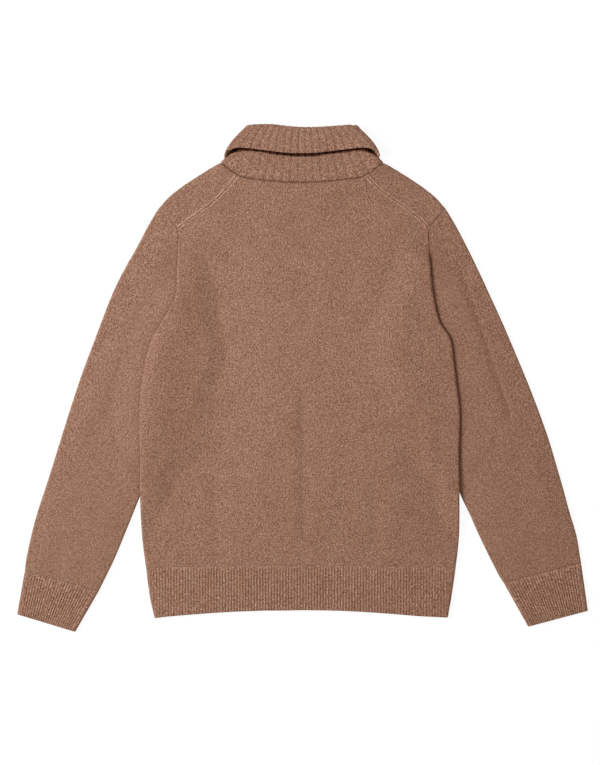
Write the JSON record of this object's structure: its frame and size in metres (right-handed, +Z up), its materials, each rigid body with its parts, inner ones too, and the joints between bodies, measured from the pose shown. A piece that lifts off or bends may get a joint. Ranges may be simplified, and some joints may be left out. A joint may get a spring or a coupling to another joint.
{
  "type": "turtleneck sweater",
  "caption": "Plain knitted turtleneck sweater laid flat on its front, back up, with a turned-down ribbed collar, ribbed cuffs and a ribbed hem.",
  "frame": {"origin": "centre of the bounding box, on the surface that the sweater lies on", "axes": "+Z up from the surface, the back of the sweater facing up; +Y towards the collar; +X across, towards the sleeve on the right of the picture"},
  "size_m": [0.8834, 0.785, 0.0217],
  "materials": {
    "jersey": "marled plain knit, matt",
    "band": "marled ribbed knit, matt",
    "collar": "marled ribbed knit, matt"
  },
  "bodies": {
    "root": {"back_panel": "jersey", "front_panel": "jersey", "hem_back": "band", "hem_front": "band", "sleeve_left": "jersey", "sleeve_right": "jersey", "cuff_left": "band", "cuff_right": "band", "collar": "collar"}
  },
  "joints": []
}
